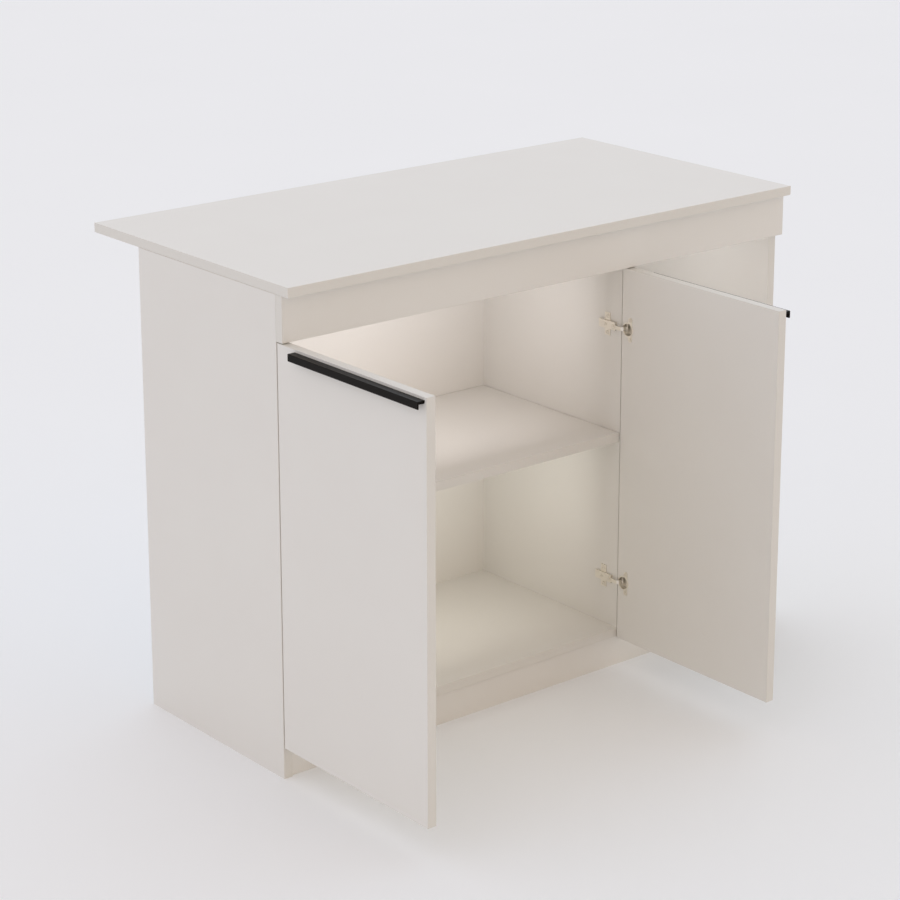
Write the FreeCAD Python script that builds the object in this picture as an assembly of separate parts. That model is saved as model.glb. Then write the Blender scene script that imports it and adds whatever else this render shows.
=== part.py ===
"""Counter desk in 18 mm laminated board: overhanging worktop, cupboard bay with two doors, open bay.

Frame: +X to the right as seen from the working side, +Y away from the user, +Z up. The origin is
on the floor, at the middle of the plinth's underside. The doors stand open at 90 degrees.
"""
import FreeCAD, Part
import os

V = FreeCAD.Vector

# Driving dimensions, in millimetres
WIDTH = 1200.0
HEIGHT = 900.0
BOARD = 18.0                # thickness of every board
EDGE = 1.0                  # thickness of the edging strips
EDGE_ROUND = 0.8            # rounding of their outer corners
TOP_DEPTH = 600.0
TOP_FRONT_OVERHANG = 36.0   # worktop past the front edges of the side panels
CARCASS_DEPTH = 418.0
DOOR_BAY = 774.0            # clear width of the cupboard bay
PLINTH_HEIGHT = 60.0
PLINTH_RECESS = 4.0
FASCIA_HEIGHT = 82.0
RAIL_DEPTH = 80.0
SHELF_UNDERSIDE = 456.0
SHELF_GAP = 1.0             # room round a loose shelf

# Doors, given as they stand when they are closed
DOOR_REVEAL = 5.0           # panel edge left showing beside the door
DOOR_MIDDLE_GAP = 2.0
DOOR_FACE_GAP = 3.5         # between the door's inner face and the carcass
DOOR_TOP_GAP = 2.0
DOOR_DROP = 1.0             # door's lower edge below the bottom board
OPEN_INSET = 0.5            # open door's outer face from the panel's outer face
OPEN_STANDOFF = 1.8         # open door's hinge edge in front of the panel

# Handle: extruded profile whose tongue is pressed into a groove in the door
HANDLE_LENGTH = 344.0
HANDLE_END_GAP = 5.0
HANDLE_BELOW_TOP = 5.0
HANDLE_REACH = 15.0
HANDLE_HEIGHT = 13.0
HANDLE_WEB = 5.0
HANDLE_LIP = 3.0
HANDLE_ROUND = 1.0
TONGUE_DEPTH = 9.0
TONGUE_HEIGHT = 2.5

# Hinges: small single-pin cup hinge, plate screws on the 32 mm system
HINGE_INSET = 117.0         # hinge centre from the door's ends
CUP_RADIUS = 13.0
CUP_DEPTH = 11.5
CUP_WALL = 1.0
CUP_FROM_EDGE = 16.5        # cup centre from the door's edge
CUP_SCREW_SPACING = 38.0
CUP_SCREW_OFFSET = 6.0
FLANGE = 1.2                # thickness of the cup's flange
PIN_RADIUS = 1.0
RUNNING_GAP = 0.05
EYE_RADIUS = 1.9
EAR_RADIUS = 5.0            # rounded ends of the cup's flange
ARM_THICKNESS = 2.0
ARM_NOSE_WIDTH = 7.0
ARM_WIDTH = 15.4
ARM_FRONT = 12.0            # the arm's plate, from the panel's front edge
ARM_REAR = 56.0
ARM_SCREW_SETBACKS = (18.0, 38.0)
CHEEK = 1.5                 # thickness of the arm's folded sides
PLATE_SETBACK = 37.0
PLATE_SCREW_SPACING = 32.0
WING_HEIGHT = 2.0           # mounting plate under its screws
WING_HALF = 7.0
RIDGE_HEIGHT = 4.0          # mounting plate under the arm
RIDGE_HALF = 6.0

# Cams, bolts, dowels and screws
FIT = 0.05                  # radial room in a drilled hole
CAM_RADIUS = 7.5
CAM_DEPTH = 12.5
CAM_SETBACK = 34.0
BOLT_GRIP = 11.0
BOLT_THREAD_RADIUS = 2.5
BOLT_SHANK_RADIUS = 3.0
DOWEL_RADIUS = 4.0
DOWEL_SHORT = 12.0
DOWEL_LONG = 18.0
DOWEL_CHAMFER = 0.8

# Screws: shank length and radius, head radius and height
CUP_SCREW = (12.0, 1.75, 3.5, 1.6)
PLATE_SCREW = (14.0, 2.0, 3.8, 1.8)
ARM_SCREW = (5.0, 1.9, 3.2, 1.6)
BLOCK_SCREW = (16.0, 1.75, 3.5, 2.0)
WORKTOP_SCREW = (30.0, 2.0, 4.0, 2.4)
PARTITION_SCREW = (50.0, 3.2, 5.0, 3.0)

# Shelf pins: pressed into the panel, with a collar under the shelf
PIN_SHANK_RADIUS = 2.5
PIN_GRIP = 8.0
COLLAR_RADIUS = 3.5
COLLAR_LENGTH = 7.0
PIN_SPACING = 320.0

# Moulded blocks behind the plinth
BLOCK_SIZE = 20.0
BLOCK_LENGTH = 44.0
BLOCK_FLOOR = 4.0           # thickness under the screw heads
BLOCK_TOE = 8.0

# Planes worked out from the driving dimensions
LEFT = -WIDTH / 2
RIGHT = WIDTH / 2
FRONT = -(PLINTH_RECESS + BOARD / 2)
REAR = FRONT + CARCASS_DEPTH
BACK_FACE = REAR - BOARD
TOP_UNDERSIDE = HEIGHT - BOARD
BAY_LEFT = LEFT + BOARD
BAY_RIGHT = BAY_LEFT + DOOR_BAY
OPEN_LEFT = BAY_RIGHT + BOARD
OPEN_RIGHT = RIGHT - BOARD
BOTTOM_TOP = PLINTH_HEIGHT + BOARD
RAIL_UNDERSIDE = TOP_UNDERSIDE - BOARD
FASCIA_UNDERSIDE = TOP_UNDERSIDE - FASCIA_HEIGHT
DOOR_TOP = FASCIA_UNDERSIDE - DOOR_TOP_GAP
DOOR_BOTTOM = PLINTH_HEIGHT - DOOR_DROP
DOOR_WIDTH = (OPEN_LEFT - LEFT) / 2 - DOOR_REVEAL - DOOR_MIDDLE_GAP / 2
DOOR_EDGE = LEFT + DOOR_REVEAL
DOOR_INNER = FRONT - DOOR_FACE_GAP
DOOR_OUTER = DOOR_INNER - BOARD
MIRROR_X = (LEFT + OPEN_LEFT) / 2

# Hinge pin of the left door: the one point that stays put between the closed and the open door
SWING = BOARD + DOOR_FACE_GAP + OPEN_INSET
PIN_X = LEFT + (SWING + DOOR_REVEAL - OPEN_STANDOFF) / 2
PIN_Y = FRONT - (SWING - DOOR_REVEAL + OPEN_STANDOFF) / 2

UP = V(0, 0, 1)
DOWN = V(0, 0, -1)
TO_LEFT = V(-1, 0, 0)
TO_RIGHT = V(1, 0, 0)
TO_FRONT = V(0, -1, 0)
TO_REAR = V(0, 1, 0)

solids = {}   # node name: its solids
holes = {}    # node name: solids to be cut from it


def block(corner, other):
    """A box between two opposite corners."""
    low = [min(pair) for pair in zip(corner, other)]
    high = [max(pair) for pair in zip(corner, other)]
    return Part.makeBox(high[0] - low[0], high[1] - low[1], high[2] - low[2], V(*low))


def rod(start, direction, length, radius):
    """A round bar from start along direction."""
    return Part.makeCylinder(radius, length, start, direction)


def round_rims(solid, radius):
    """Rounds the closed circular edges of a turned piece."""
    return solid.makeFillet(radius, [edge for edge in solid.Edges if edge.isClosed()])


def add(name, *new):
    """Put solids into a node."""
    solids.setdefault(name, []).extend(new)


def drill(name, *tools):
    """Note solids to be cut from a node."""
    holes.setdefault(name, []).extend(tools)


def edging_strip(low, high, axis, side):
    """A strip from low to high whose long edges on the outer side of the axis are rounded."""
    strip = block(low, high)
    face = low[axis] if side == "-" else high[axis]
    length = max(end - start for start, end in zip(low, high))
    outer = [edge for edge in strip.Edges
             if edge.Length > length - 1 and abs(edge.CenterOfMass[axis] - face) < EDGE / 4]
    return strip.makeFillet(EDGE_ROUND, outer)


def board(name, low, high, banded=""):
    """A board of outer size low..high with edging strips on its banded edges, such as "y-"."""
    low, high = list(low), list(high)
    for edge in banded.split():
        axis = "xyz".index(edge[0])
        strip_low, strip_high = list(low), list(high)
        if edge[1] == "-":
            low[axis] += EDGE
            strip_high[axis] = low[axis]
        else:
            high[axis] -= EDGE
            strip_low[axis] = high[axis]
        add(name + "_edging", edging_strip(strip_low, strip_high, axis, edge[1]))
    add(name, block(low, high))


def dowel(long_in, short_in, joint, out):
    """A beech dowel across a joint; out points from the board with the deeper hole to the other."""
    start = joint - out * DOWEL_LONG
    length = DOWEL_LONG + DOWEL_SHORT
    plain = rod(start, out, length, DOWEL_RADIUS)
    add("dowels", plain.makeChamfer(DOWEL_CHAMFER, [edge for edge in plain.Edges if edge.isClosed()]))
    for name in (long_in, short_in):
        drill(name, rod(start, out, length, DOWEL_RADIUS + FIT))


def cam_fitting(near, far, joint, out, face):
    """A cam let into the near board, and its bolt, which is screwed into the far board.

    joint is the point between the boards at mid-thickness, out points from near to far, and
    face is the outward normal of the near board's face that the cam is let into.
    """
    centre = joint - out * CAM_SETBACK
    surface = centre + face * (BOARD / 2)
    floor = surface - face * CAM_DEPTH
    cross = face.cross(out)
    rim = CAM_SETBACK - CAM_RADIUS
    bolt_room = rod(centre, out, CAM_SETBACK, BOLT_SHANK_RADIUS + 2 * FIT)
    cam = rod(floor, face, CAM_DEPTH, CAM_RADIUS).cut(bolt_room)
    for along, across in ((out, cross), (cross, out)):
        half = along * 4 + across * 0.8 + face * 2
        cam = cam.cut(block(surface - half, surface + half))
    thread = rod(joint, out, BOLT_GRIP, BOLT_THREAD_RADIUS)
    shank = rod(joint - out * rim, out, rim, BOLT_SHANK_RADIUS)
    neck = rod(joint - out * (rim + 4), out, 4, BOLT_THREAD_RADIUS - 0.7)
    knob = rod(joint - out * (rim + 6), out, 2, BOLT_THREAD_RADIUS)
    add("cams", cam)
    add("cam_bolts", thread.fuse([shank, neck, knob]).removeSplitter())
    drill(near, rod(floor, face, CAM_DEPTH, CAM_RADIUS + FIT), bolt_room)
    drill(far, rod(joint, out, BOLT_GRIP, BOLT_THREAD_RADIUS + FIT))


def screw(start, into, length, radius, head_radius, head_height):
    """A pan-head screw whose head sits on the surface at start and whose shank goes into."""
    head = round_rims(rod(start - into * head_height, into, head_height, head_radius), head_height / 3)
    top = start - into * head_height
    side = V(into.y, into.z, into.x)
    for along, across in ((side, into.cross(side)), (into.cross(side), side)):
        half = along * head_radius * 0.6 + across * head_radius * 0.15 + into * head_height * 0.5
        head = head.cut(block(top - half, top + half))
    return head.fuse(rod(start, into, length, radius)).removeSplitter()


def wood_screw(group, through, start, into, sizes):
    """A screw in a group node, with its hole in each board it goes through."""
    length, radius = sizes[:2]
    add(group, screw(start, into, *sizes))
    for name in through:
        drill(name, rod(start, into, length, radius + FIT))


def make_carcass():
    """The boards of the carcass, with the worktop."""
    top_front = FRONT - TOP_FRONT_OVERHANG
    board("worktop", (LEFT, top_front, TOP_UNDERSIDE), (RIGHT, top_front + TOP_DEPTH, HEIGHT),
          "y- y+ x- x+")
    board("left_side", (LEFT, FRONT, 0), (BAY_LEFT, REAR, TOP_UNDERSIDE), "y- y+")
    board("right_side", (OPEN_RIGHT, FRONT, 0), (RIGHT, REAR, TOP_UNDERSIDE), "y- y+")
    board("partition", (BAY_RIGHT, FRONT, BOTTOM_TOP), (OPEN_LEFT, BACK_FACE, TOP_UNDERSIDE), "y-")
    board("bottom_board", (BAY_LEFT, FRONT, PLINTH_HEIGHT), (OPEN_RIGHT, BACK_FACE, BOTTOM_TOP), "y-")
    board("back_panel", (BAY_LEFT, BACK_FACE, 0), (OPEN_RIGHT, REAR, TOP_UNDERSIDE))
    board("plinth", (BAY_LEFT, -BOARD / 2, 0), (OPEN_RIGHT, BOARD / 2, PLINTH_HEIGHT))
    board("fascia", (LEFT, FRONT - BOARD, FASCIA_UNDERSIDE), (RIGHT, FRONT, TOP_UNDERSIDE),
          "z- x- x+")
    for bay, start, end in (("left", BAY_LEFT, BAY_RIGHT), ("right", OPEN_LEFT, OPEN_RIGHT)):
        for place, near in (("front", FRONT), ("rear", BACK_FACE - RAIL_DEPTH)):
            board(place + "_rail_" + bay, (start, near, RAIL_UNDERSIDE),
                  (end, near + RAIL_DEPTH, TOP_UNDERSIDE))


def make_shelves():
    """One shelf in each bay, lying loose on four pins."""
    for bay, start, end, left_panel, right_panel in (
            ("cupboard", BAY_LEFT, BAY_RIGHT, "left_side", "partition"),
            ("open_bay", OPEN_LEFT, OPEN_RIGHT, "partition", "right_side")):
        board(bay + "_shelf", (start + SHELF_GAP, FRONT + SHELF_GAP, SHELF_UNDERSIDE),
              (end - SHELF_GAP, BACK_FACE - SHELF_GAP, SHELF_UNDERSIDE + BOARD), "y- x- x+")
        for depth in (PLATE_SETBACK, PLATE_SETBACK + PIN_SPACING):
            for face, panel, out in ((start, left_panel, TO_LEFT), (end, right_panel, TO_RIGHT)):
                at = V(face, FRONT + depth, SHELF_UNDERSIDE - COLLAR_RADIUS)
                shank = rod(at, out, PIN_GRIP, PIN_SHANK_RADIUS)
                collar = rod(at - out * COLLAR_LENGTH, out, COLLAR_LENGTH, COLLAR_RADIUS)
                add("shelf_pins", shank.fuse(round_rims(collar, EDGE_ROUND)).removeSplitter())
                drill(panel, rod(at, out, PIN_GRIP, PIN_SHANK_RADIUS + FIT))


def make_joints():
    """The hidden joints of the carcass: cams and bolts, dowels, and screws from below."""
    bottom_middle = PLINTH_HEIGHT + BOARD / 2
    rail_middle = TOP_UNDERSIDE - BOARD / 2
    back_middle = REAR - BOARD / 2
    for x, panel, out in ((BAY_LEFT, "left_side", TO_LEFT), (OPEN_RIGHT, "right_side", TO_RIGHT)):
        for depth in (60, CARCASS_DEPTH - 78):
            cam_fitting("bottom_board", panel, V(x, FRONT + depth, bottom_middle), out, DOWN)
        for depth in (92, CARCASS_DEPTH - 110):
            dowel("bottom_board", panel, V(x, FRONT + depth, bottom_middle), out)
        for height in (150, 730):
            cam_fitting("back_panel", panel, V(x, back_middle, height), out, TO_FRONT)
        for height in (300, 600):
            dowel("back_panel", panel, V(x, back_middle, height), out)
        dowel("plinth", panel, V(x, 0, PLINTH_HEIGHT / 2), out)
    # each rail end has a cam and a dowel; the two sides of the partition are staggered
    for place, near in (("front", FRONT), ("rear", BACK_FACE - RAIL_DEPTH)):
        middle = near + RAIL_DEPTH / 2
        for bay, x, panel, out in (("left", BAY_LEFT, "left_side", TO_LEFT),
                                   ("left", BAY_RIGHT, "partition", TO_RIGHT),
                                   ("right", OPEN_LEFT, "partition", TO_LEFT),
                                   ("right", OPEN_RIGHT, "right_side", TO_RIGHT)):
            shift = 8 * out.x
            rail = place + "_rail_" + bay
            cam_fitting(rail, panel, V(x, middle + shift - 16, rail_middle), out, UP)
            dowel(rail, panel, V(x, middle + shift + 16, rail_middle), out)
    for x in (BAY_LEFT + 200, BAY_RIGHT - 200, OPEN_LEFT + 120, OPEN_RIGHT - 120):
        rail = "front_rail_left" if x < BAY_RIGHT else "front_rail_right"
        cam_fitting(rail, "fascia", V(x, FRONT, rail_middle), TO_FRONT, UP)
    for x, panel in ((LEFT + BOARD / 2, "left_side"), (BAY_RIGHT + BOARD / 2, "partition"),
                     (RIGHT - BOARD / 2, "right_side")):
        at = V(x, FRONT, FASCIA_UNDERSIDE + 24)
        dowel(panel, "fascia", at, TO_FRONT)
        drill(panel + "_edging", rod(at, TO_REAR, EDGE, DOWEL_RADIUS + FIT))
    partition_middle = BAY_RIGHT + BOARD / 2
    for height in (200, 520, 800):
        dowel("partition", "back_panel", V(partition_middle, BACK_FACE, height), TO_REAR)
    for x in (BAY_LEFT + 130, BAY_LEFT + 390, BAY_RIGHT - 130, OPEN_RIGHT - 130):
        dowel("bottom_board", "back_panel", V(x, BACK_FACE, bottom_middle), TO_REAR)
    for depth in (40, CARCASS_DEPTH - 60):
        dowel("partition", "bottom_board", V(partition_middle, FRONT + depth, BOTTOM_TOP), DOWN)
    for depth in (110, CARCASS_DEPTH - 130):
        wood_screw("partition_screws", ("bottom_board", "partition"),
                   V(partition_middle, FRONT + depth, PLINTH_HEIGHT), UP, PARTITION_SCREW)
    for place, near in (("front", FRONT), ("rear", BACK_FACE - RAIL_DEPTH)):
        for bay, start, end in (("left", BAY_LEFT, BAY_RIGHT), ("right", OPEN_LEFT, OPEN_RIGHT)):
            for share in (0.2, 0.8):
                at = V(start + share * (end - start), near + RAIL_DEPTH * 0.75, RAIL_UNDERSIDE)
                wood_screw("worktop_screws", (place + "_rail_" + bay, "worktop"), at, UP,
                           WORKTOP_SCREW)


def make_corner_blocks():
    """The moulded blocks that hold the plinth to the bottom board, each with two screws."""
    behind = BOARD / 2
    low = PLINTH_HEIGHT - BLOCK_SIZE
    pocket_radius = BLOCK_SCREW[2] + 1
    seat_middle = BLOCK_SIZE / 2 + 1
    for x in (BAY_LEFT + 190, 0, OPEN_RIGHT - 190):
        start = x - BLOCK_LENGTH / 2
        outline = [V(start, behind, PLINTH_HEIGHT),
                   V(start, behind, low),
                   V(start, behind + BLOCK_TOE, low),
                   V(start, behind + BLOCK_SIZE, PLINTH_HEIGHT - BLOCK_TOE),
                   V(start, behind + BLOCK_SIZE, PLINTH_HEIGHT)]
        body = Part.Face(Part.makePolygon(outline + outline[:1])).extrude(V(BLOCK_LENGTH, 0, 0))
        up_seat = V(x - 12, behind + seat_middle, PLINTH_HEIGHT - BLOCK_FLOOR)
        front_seat = V(x + 12, behind + BLOCK_FLOOR, PLINTH_HEIGHT - seat_middle)
        for seat, into, board_name in ((up_seat, UP, "bottom_board"), (front_seat, TO_FRONT, "plinth")):
            body = body.cut(rod(seat, into * -1, BLOCK_SIZE, pocket_radius))
            body = body.cut(rod(seat, into, BLOCK_FLOOR + 1, BLOCK_SCREW[1] + FIT))
            wood_screw("block_screws", (board_name,), seat, into, BLOCK_SCREW)
        add("corner_blocks", body)


def turn_open(shape):
    """A shape made on the closed left door, turned with it to the open door."""
    turned = shape.copy()
    turned.rotate(V(PIN_X, PIN_Y, 0), UP, -90)
    return turned


def mirrored(shape):
    """The shape at the right-hand door."""
    return shape.mirror(V(MIRROR_X, 0, 0), V(1, 0, 0))


def add_pair(name, left_solids):
    """The left-hand solids, and their mirror image for the right-hand door."""
    for solid in left_solids:
        add("left_" + name, solid)
        add("right_" + name, mirrored(solid))


def make_door():
    """Both doors, made from the closed left door, with its handle and its two hinges."""
    door_end = DOOR_EDGE + DOOR_WIDTH
    low = V(DOOR_EDGE + EDGE, DOOR_OUTER, DOOR_BOTTOM + EDGE)
    high = V(door_end - EDGE, DOOR_INNER, DOOR_TOP - EDGE)
    strips = []
    for x, side, rim in ((DOOR_EDGE, "-", low.x), (door_end, "+", high.x)):
        strips.append(edging_strip((min(x, rim), DOOR_OUTER, DOOR_BOTTOM),
                                   (max(x, rim), DOOR_INNER, DOOR_TOP), 0, side))
    for z, side, rim in ((DOOR_BOTTOM, "-", low.z), (DOOR_TOP, "+", high.z)):
        strips.append(edging_strip((low.x, DOOR_OUTER, min(z, rim)),
                                   (high.x, DOOR_INNER, max(z, rim)), 2, side))
    handle, tongue = make_handle(door_end - HANDLE_END_GAP)
    door = block(low, high).cut(tongue)
    for name, centre in (("upper", DOOR_TOP - HINGE_INSET), ("lower", DOOR_BOTTOM + HINGE_INSET)):
        door = door.cut(make_cup(name, centre))
        make_arm(name, centre)
    add_pair("door", [turn_open(door)])
    add_pair("door_edging", [turn_open(strip) for strip in strips])
    add_pair("handle", [turn_open(handle)])


def make_handle(end):
    """The handle on the closed left door, whose free end is at x = end, and its tongue alone."""
    start = end - HANDLE_LENGTH
    top = DOOR_TOP - HANDLE_BELOW_TOP
    reach = DOOR_OUTER - HANDLE_REACH
    tongue_low = top - (HANDLE_WEB + TONGUE_HEIGHT) / 2
    web = block((start, DOOR_OUTER, top), (end, reach, top - HANDLE_WEB))
    lip = block((start, reach, top), (end, reach + HANDLE_LIP, top - HANDLE_HEIGHT))
    tongue = block((start, DOOR_OUTER, tongue_low),
                   (end, DOOR_OUTER + TONGUE_DEPTH, tongue_low + TONGUE_HEIGHT))
    handle = web.fuse([lip, tongue]).removeSplitter()
    corners = [edge for edge in handle.Edges
               if edge.Length > HANDLE_LENGTH / 2 and abs(edge.CenterOfMass.y - reach) < 0.01]
    return handle.makeFillet(HANDLE_ROUND, corners), tongue


def make_cup(name, centre):
    """The hinge cup, its pin and its screws; returns what they take out of the door."""
    middle = V(DOOR_EDGE + CUP_FROM_EDGE, DOOR_INNER, centre)
    screw_x = middle.x + CUP_SCREW_OFFSET
    half = CUP_SCREW_SPACING / 2
    depth = CUP_DEPTH + FLANGE - CUP_WALL
    pot = rod(middle, TO_FRONT, CUP_DEPTH, CUP_RADIUS)
    flange = rod(middle, TO_REAR, FLANGE, CUP_RADIUS + 1)
    hollow = rod(middle + TO_REAR * FLANGE, TO_FRONT, depth, CUP_RADIUS - CUP_WALL)
    strap = block((screw_x - EAR_RADIUS, DOOR_INNER, centre - half),
                  (screw_x + EAR_RADIUS, DOOR_INNER + FLANGE, centre + half))
    pin_length = 2 * (CUP_RADIUS ** 2 - (PIN_X - middle.x) ** 2) ** 0.5 - 1
    pin = rod(V(PIN_X, PIN_Y, centre - pin_length / 2), UP, pin_length, PIN_RADIUS)
    cup = pot.fuse([flange, strap])
    taken = pot.fuse(pin)
    screws = []
    for side in (-half, half):
        foot = V(screw_x, DOOR_INNER, centre + side)
        top = foot + TO_REAR * FLANGE
        shank_hole = rod(top, TO_FRONT, CUP_SCREW[0], CUP_SCREW[1] + FIT)
        cup = cup.fuse(rod(foot, TO_REAR, FLANGE, EAR_RADIUS)).cut(shank_hole)
        taken = taken.fuse(shank_hole)
        screws.append(screw(top, TO_FRONT, *CUP_SCREW))
    cup = cup.cut(hollow).cut(pin).removeSplitter()
    add_pair(name + "_hinge_cup", [turn_open(cup)])
    add_pair("hinge_pins", [turn_open(pin)])
    add_pair("cup_screws", [turn_open(piece) for piece in screws])
    return taken


def make_arm(name, centre):
    """The mounting plate on the panel and the arm that reaches round to the pin."""
    setback = FRONT + PLATE_SETBACK
    half = PLATE_SCREW_SPACING / 2
    wing_top = BAY_LEFT + WING_HEIGHT
    ridge_top = BAY_LEFT + RIDGE_HEIGHT
    arm_top = ridge_top + ARM_THICKNESS
    wing_end = half + RIDGE_HALF
    wings = block((BAY_LEFT, setback - WING_HALF, centre - wing_end),
                  (wing_top, setback + WING_HALF, centre + wing_end))
    ridge = block((BAY_LEFT, FRONT + ARM_FRONT + 1, centre - RIDGE_HALF),
                  (ridge_top, FRONT + ARM_REAR - 2, centre + RIDGE_HALF))
    plate = wings.fuse(ridge).removeSplitter()

    cover = block((ridge_top, FRONT + ARM_FRONT, centre - ARM_WIDTH / 2),
                  (arm_top, FRONT + ARM_REAR, centre + ARM_WIDTH / 2))
    cheeks = []
    for side in (-1, 1):
        outer = centre + side * ARM_WIDTH / 2
        cheeks.append(block((wing_top + 2 * FIT, FRONT + ARM_FRONT, outer),
                            (ridge_top, FRONT + ARM_REAR, outer - side * CHEEK)))
    nose_bottom = centre - ARM_NOSE_WIDTH / 2
    eye_bottom = V(PIN_X, PIN_Y, nose_bottom)
    middle = ridge_top + ARM_THICKNESS / 2
    crest = middle + 3
    bend = [V(middle, FRONT + ARM_FRONT + 2, nose_bottom),
            V(crest, FRONT + 7, nose_bottom),
            V(crest, PIN_Y + 3.75, nose_bottom),
            V(middle - 0.5, PIN_Y, nose_bottom),
            eye_bottom]
    outline = Part.makePolygon(bend).makeOffset2D(ARM_THICKNESS / 2)
    nose = Part.Face(outline).extrude(V(0, 0, ARM_NOSE_WIDTH))
    eye = rod(eye_bottom, UP, ARM_NOSE_WIDTH, EYE_RADIUS)
    bore = rod(eye_bottom, UP, ARM_NOSE_WIDTH, PIN_RADIUS + RUNNING_GAP)
    arm = cover.fuse(cheeks + [nose, eye]).cut(bore).removeSplitter()

    arm_screws = []
    for depth in ARM_SCREW_SETBACKS:
        top = V(arm_top, FRONT + depth, centre)
        passage = rod(top, TO_LEFT, ARM_SCREW[0], ARM_SCREW[1] + FIT)
        arm = arm.cut(passage)
        plate = plate.cut(passage)
        arm_screws.append(screw(top, TO_LEFT, *ARM_SCREW))
    plate_screws = []
    for side in (-half, half):
        top = V(wing_top, setback, centre + side)
        passage = rod(top, TO_LEFT, PLATE_SCREW[0], PLATE_SCREW[1] + FIT)
        plate = plate.cut(passage)
        drill("left_side", passage)
        drill("partition", mirrored(passage))
        plate_screws.append(screw(top, TO_LEFT, *PLATE_SCREW))
    add_pair(name + "_hinge_plate", [plate])
    add_pair(name + "_hinge_arm", [arm])
    add_pair("arm_screws", arm_screws)
    add_pair("plate_screws", plate_screws)


def write_nodes():
    """Drills each node's holes and writes it as one STEP file."""
    os.makedirs("parts", exist_ok=True)
    for name, pieces in solids.items():
        if name in holes:
            pieces = [piece.cut(holes[name]) for piece in pieces]
        shape = pieces[0] if len(pieces) == 1 else Part.makeCompound(pieces)
        shape.exportStep("parts/" + name + ".step")
        print(name, len(shape.Solids), shape.isValid(), round(shape.Volume / 1000, 1), "cm3")


make_carcass()
make_shelves()
make_joints()
make_corner_blocks()
make_door()
write_nodes()
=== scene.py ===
"""Counter desk in white laminated board: the finish of every piece, the floor, light and camera."""
import bpy
import math
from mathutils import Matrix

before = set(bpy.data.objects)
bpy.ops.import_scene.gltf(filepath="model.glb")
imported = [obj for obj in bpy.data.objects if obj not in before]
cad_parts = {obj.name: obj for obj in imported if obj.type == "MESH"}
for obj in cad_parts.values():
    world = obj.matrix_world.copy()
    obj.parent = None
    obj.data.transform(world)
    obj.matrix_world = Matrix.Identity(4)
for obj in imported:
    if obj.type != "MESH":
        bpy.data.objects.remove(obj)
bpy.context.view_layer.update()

MM = 0.001


def linear(colour):
    """An sRGB hex colour as linear RGBA."""
    channels = [int(colour[i:i + 2], 16) / 255 for i in (1, 3, 5)]
    return [c / 12.92 if c <= 0.04045 else ((c + 0.055) / 1.055) ** 2.4 for c in channels] + [1]


def node(tree, kind, settings=None, links=None):
    """Adds one shader node. A setting is an input, by name or number, or else a property."""
    made = tree.nodes.new("ShaderNode" + kind)
    for key, value in (settings or {}).items():
        if isinstance(key, str) and hasattr(made, key):
            setattr(made, key, value)
        else:
            made.inputs[key].default_value = value
    for key, source in (links or {}).items():
        tree.links.new(source, made.inputs[key])
    return made


def new_finish(name, settings):
    """A material, its node tree, its shader and the piece's own coordinates."""
    material = bpy.data.materials.new(name)
    material.use_nodes = True
    tree = material.node_tree
    tree.nodes.clear()
    shader = node(tree, "BsdfPrincipled", settings)
    node(tree, "OutputMaterial", links={"Surface": shader.outputs[0]})
    return material, tree, shader, node(tree, "TexCoord").outputs


def grain(tree, place, size, detail=2.0):
    """A 0 to 1 pattern whose grains have the given size in millimetres along x, y and z."""
    scaled = node(tree, "Mapping", {"Scale": [1 / (length * MM) for length in size]},
                  {"Vector": place["Object"]})
    return node(tree, "TexNoise", {"Scale": 1.0, "Detail": detail},
                {"Vector": scaled.outputs[0]}).outputs[0]


def follow(tree, shader, pattern, tones=None, roughness=None, relief=None):
    """Lets a finish follow a pattern: between two hex tones, between two roughnesses, and in
    relief, given as its strength and its depth in millimetres."""
    if tones:
        low, high = [linear(tone) for tone in tones]
        mixed = node(tree, "Mix", {"data_type": "RGBA", 6: low, 7: high}, {0: pattern})
        tree.links.new(mixed.outputs[2], shader.inputs["Base Color"])
    if roughness:
        spread = node(tree, "MapRange", {"To Min": roughness[0], "To Max": roughness[1]},
                      {"Value": pattern})
        tree.links.new(spread.outputs[0], shader.inputs["Roughness"])
    if relief:
        strength, depth = relief
        raised = node(tree, "Bump", {"Strength": strength, "Distance": depth * MM},
                      {"Height": pattern})
        tree.links.new(raised.outputs[0], shader.inputs["Normal"])


def one_grain(name, settings, size, detail=2.0, **followed):
    """A material that follows a single grain."""
    material, tree, shader, place = new_finish(name, settings)
    follow(tree, shader, grain(tree, place, size, detail), **followed)
    return material


PEARL = (2.5,) * 3              # pearl grain of about 1 mm, drawn coarser so that it shows at all
PAPER_DRIFT = (160,) * 3        # slow drift in the tone of the decor paper
CHIP = 2.4                      # chips of 1 to 4 mm in the pressed core
PAPER_TONES = ("#E5E2DD", "#E8E6E1")
CORE_TONES = ("#8A6844", "#D2B78E")
SQUARE_TO_FACE = 0.7            # how squarely a face must lie to the thickness to be laminated


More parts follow.
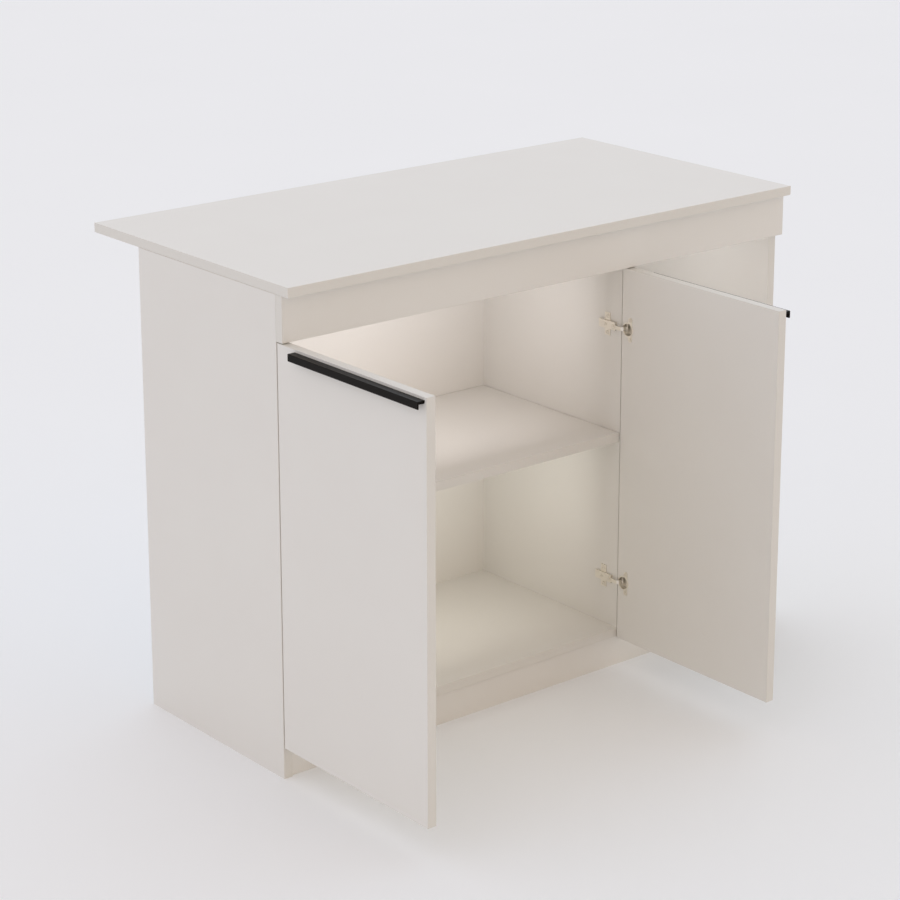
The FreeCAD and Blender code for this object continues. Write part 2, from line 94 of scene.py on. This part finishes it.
def melamine_faced_chipboard(thickness_axis):
    """Decor paper in melamine resin, pressed on chipboard by a pearl-grained plate.

    The faces are an even warm white with a soft satin sheen and a faint pearl grain. An edge
    that has no strip shows the pressed chips. thickness_axis is X, Y or Z.
    """
    material, tree, shader, place = new_finish(
        "melamine_faced_chipboard_" + thickness_axis.lower(), {"IOR": 1.5})
    follow(tree, shader, grain(tree, place, PEARL), roughness=(0.38, 0.48), relief=(0.35, 0.04))
    paper = node(tree, "Mix", {"data_type": "RGBA", 6: linear(PAPER_TONES[0]),
                               7: linear(PAPER_TONES[1])}, {0: grain(tree, place, PAPER_DRIFT)})
    chips = node(tree, "TexVoronoi", {"Scale": 1 / (CHIP * MM)}, {"Vector": place["Object"]})
    chip_tone = node(tree, "SeparateColor", links={0: chips.outputs["Color"]})
    core = node(tree, "Mix", {"data_type": "RGBA", 6: linear(CORE_TONES[0]),
                              7: linear(CORE_TONES[1])}, {0: chip_tone.outputs[0]})
    facing = node(tree, "SeparateXYZ", links={0: place["Normal"]})
    across = node(tree, "Math", {"operation": "ABSOLUTE"},
                  {0: facing.outputs["XYZ".index(thickness_axis)]})
    laminated = node(tree, "Math", {"operation": "GREATER_THAN", 1: SQUARE_TO_FACE},
                     {0: across.outputs[0]})
    surface = node(tree, "Mix", {"data_type": "RGBA"},
                   {0: laminated.outputs[0], 6: core.outputs[2], 7: paper.outputs[2]})
    tree.links.new(surface.outputs[2], shader.inputs["Base Color"])
    return material


def black_anodised_aluminium():
    """Extruded profile, etched and anodised black: a deep satin with fine lines along it."""
    material, tree, shader, place = new_finish("black_anodised_aluminium", {"Metallic": 1.0})
    # die lines of about 0.2 mm, drawn at 0.8 mm; the profile lies along y
    lines = grain(tree, place, (0.8, 90, 0.8), 3.0)
    follow(tree, shader, lines, roughness=(0.36, 0.52), relief=(0.4, 0.02))
    # etched pits of about 0.1 mm, drawn at 1.2 mm
    follow(tree, shader, grain(tree, place, (1.2,) * 3), tones=("#171412", "#221F1C"))
    return material


board = {axis: melamine_faced_chipboard(axis) for axis in "XYZ"}
black_profile = black_anodised_aluminium()
# Extruded ABS strip, glued on, trimmed and buffed: a smoother, slightly glossier white.
# Its buffing marks of about 0.3 mm are drawn at 1.5 mm so that they show.
edge_band = one_grain("extruded_abs_edge_band", {"IOR": 1.53}, (1.5,) * 3, 3.0,
                      tones=("#DDDAD3", "#E2DFD9"), roughness=(0.3, 0.4), relief=(0.2, 0.02))
# Pressed steel with a nickel skin: pale and warm, with soft blurred reflections.
# Its unevenness of about 0.5 mm is drawn at 1.5 mm.
bright_nickel = one_grain("nickel_plated_pressed_steel", {"Metallic": 1.0}, (1.5,) * 3, 3.0,
                          tones=("#EAE5DB", "#F5F1E9"), roughness=(0.36, 0.5),
                          relief=(0.5, 0.02))
# Die-cast zinc: grey, grainy and dull, with a grain of about 0.8 mm.
cast_zinc = one_grain("die_cast_zinc", {"Metallic": 1.0}, (0.8,) * 3, 3.0,
                      tones=("#8E9193", "#B4B7B8"), roughness=(0.45, 0.65), relief=(0.5, 0.05))
# Screw wire with a thin blue-white zinc skin, slightly uneven every 0.6 mm.
zinc_screw = one_grain("zinc_plated_screw_steel", {"Metallic": 1.0}, (0.6,) * 3, 3.0,
                       tones=("#BFC4C8", "#D5D8DA"), roughness=(0.3, 0.45), relief=(0.5, 0.02))
# Turned and fluted beech: pale pinkish brown with short dark flecks, 3 mm long and 0.4 mm wide.
beech = one_grain("fluted_beech", {"IOR": 1.45, "Roughness": 0.62}, (0.4, 0.4, 3), 4.0,
                  tones=("#B98A5E", "#E0C097"), relief=(0.5, 0.1))
# Injection-moulded nylon: milky white and matt. The mould's spark-eroded texture of about
# 0.2 mm is drawn at 0.6 mm.
nylon = one_grain("moulded_nylon",
                  {"IOR": 1.53, "Subsurface Weight": 0.1, "Subsurface Scale": 2 * MM},
                  (0.6,) * 3, tones=("#DFDCD4", "#EDEAE3"), roughness=(0.45, 0.6))
# Rolled vinyl studio floor: plain, matt and nearly white, clouded over about 700 mm.
backdrop = one_grain("rolled_vinyl_backdrop", {"IOR": 1.45, "Roughness": 0.85}, (700,) * 3,
                     tones=("#F7F9FB", "#F9FBFD"))

# The way that each upright board's thickness lies; every other board lies flat
THICKNESS_AXIS = {"left_side": "X", "right_side": "X", "partition": "X", "left_door": "X",
                  "right_door": "X", "back_panel": "Y", "plinth": "Y", "fascia": "Y"}


def finish_of(name):
    """The material of a CAD node."""
    if name.endswith("_edging"):
        return edge_band
    if name.endswith("_handle"):
        return black_profile
    if "_hinge_" in name or name.endswith(("cup_screws", "plate_screws", "arm_screws")):
        return bright_nickel
    if name == "shelf_pins":
        return bright_nickel
    if name.endswith("_screws") or name == "cam_bolts":
        return zinc_screw
    return {"cams": cast_zinc, "dowels": beech, "corner_blocks": nylon}.get(
        name, board[THICKNESS_AXIS.get(name, "Z")])


# Edges that a tool leaves: the radius in millimetres of each kind of metal piece
ARRIS = {"_handle": 0.3, "_hinge_cup": 0.35, "_hinge_arm": 0.5, "_hinge_plate": 0.5}
SHARP = math.radians(50)        # an edge that turns more than this gets one
ARRIS_STEPS = 2

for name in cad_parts:
    piece = bpy.data.objects[name]
    piece.data.materials.clear()
    piece.data.materials.append(finish_of(name))
    for ending, radius in ARRIS.items():
        if name.endswith(ending):
            arris = piece.modifiers.new("arris", "BEVEL")
            arris.width = radius * MM
            arris.segments = ARRIS_STEPS
            arris.limit_method = "ANGLE"
            arris.angle_limit = SHARP

# Floor
FLOOR_HALF = 30.0
corners = [(-FLOOR_HALF, -FLOOR_HALF, 0), (FLOOR_HALF, -FLOOR_HALF, 0),
           (FLOOR_HALF, FLOOR_HALF, 0), (-FLOOR_HALF, FLOOR_HALF, 0)]
floor_mesh = bpy.data.meshes.new("studio_floor")
floor_mesh.from_pydata(corners, [], [(0, 1, 2, 3)])
floor_mesh.materials.append(backdrop)
floor = bpy.data.objects.new("studio_floor", floor_mesh)
bpy.context.collection.objects.link(floor)

# Light: white studio walls all round, cooler on the right, and darker and warmer in front
WALLS = (0.861, 0.856, 0.900)
COOL_RIGHT = (0.157, 0.252, 0.300)      # added towards +x
DARK_FRONT = (0.138, 0.301, 0.500)      # taken away towards -y

studio = bpy.data.worlds.new("studio")
bpy.context.scene.world = studio
studio.use_nodes = True
sky = studio.node_tree
direction = node(sky, "TexCoord").outputs["Generated"]
heading = node(sky, "SeparateXYZ", links={0: direction}).outputs
rightward = node(sky, "Math", {"operation": "MAXIMUM", 1: 0.0}, {0: heading[0]}).outputs[0]
frontward = node(sky, "Math", {"operation": "MULTIPLY", 1: -1.0, "use_clamp": True},
                 {0: heading[1]}).outputs[0]
cooled = node(sky, "Mix", {"data_type": "RGBA", "blend_type": "ADD", 6: WALLS + (1,),
                           7: COOL_RIGHT + (1,)}, {0: rightward}).outputs[2]
glow = node(sky, "Mix", {"data_type": "RGBA", "blend_type": "SUBTRACT", 7: DARK_FRONT + (1,)},
            {0: frontward, 6: cooled}).outputs[2]
sky.links.new(glow, sky.nodes["Background"].inputs["Color"])

# Low fill panels in the bays, so that their insides are not left dark: the name, middle, size,
# tilt and turn in degrees, power in watts and colour of each
FILL_PANELS = (
    ("panel_upper_bay", (-0.2, 0.03, 0.72), (0.5, 0.16), 90, 0, 0.8, (1, 0.97, 1)),
    ("panel_lower_bay", (-0.2, 0.03, 0.37), (0.5, 0.14), 90, 0, 0.66, (1, 0.99, 0.94)),
    ("panel_open_bay", (0.29, 0.14, 0.79), (0.3, 0.06), 62, -80, 0.38, (1, 0.98, 1)))

for name, middle, size, tilt, turn, power, colour in FILL_PANELS:
    lamp = bpy.data.lights.new(name, "AREA")
    lamp.shape = "RECTANGLE"
    lamp.size, lamp.size_y = size
    lamp.energy = power
    lamp.color = colour
    panel = bpy.data.objects.new(name, lamp)
    panel.location = middle
    panel.rotation_euler = (math.radians(tilt), 0, math.radians(turn))
    panel.visible_camera = False
    panel.visible_glossy = False
    bpy.context.collection.objects.link(panel)

# Camera, from the front left and above; its angles are in radians
CAMERA_PLACE = (-3.0483, -3.4559, 2.0234)
TIPPED_DOWN = 0.27047
ROLLED = 0.00078
TURNED_RIGHT = 0.68735
LENS_MM = 104.81
SHIFT_UP = -0.1556

camera = bpy.data.objects.new("camera", bpy.data.cameras.new("camera"))
bpy.context.collection.objects.link(camera)
camera.location = CAMERA_PLACE
camera.rotation_euler = (math.pi / 2 - TIPPED_DOWN, ROLLED, -TURNED_RIGHT)
camera.data.lens = LENS_MM
camera.data.shift_y = SHIFT_UP
bpy.context.scene.camera = camera
bpy.context.scene.view_settings.view_transform = "Standard"
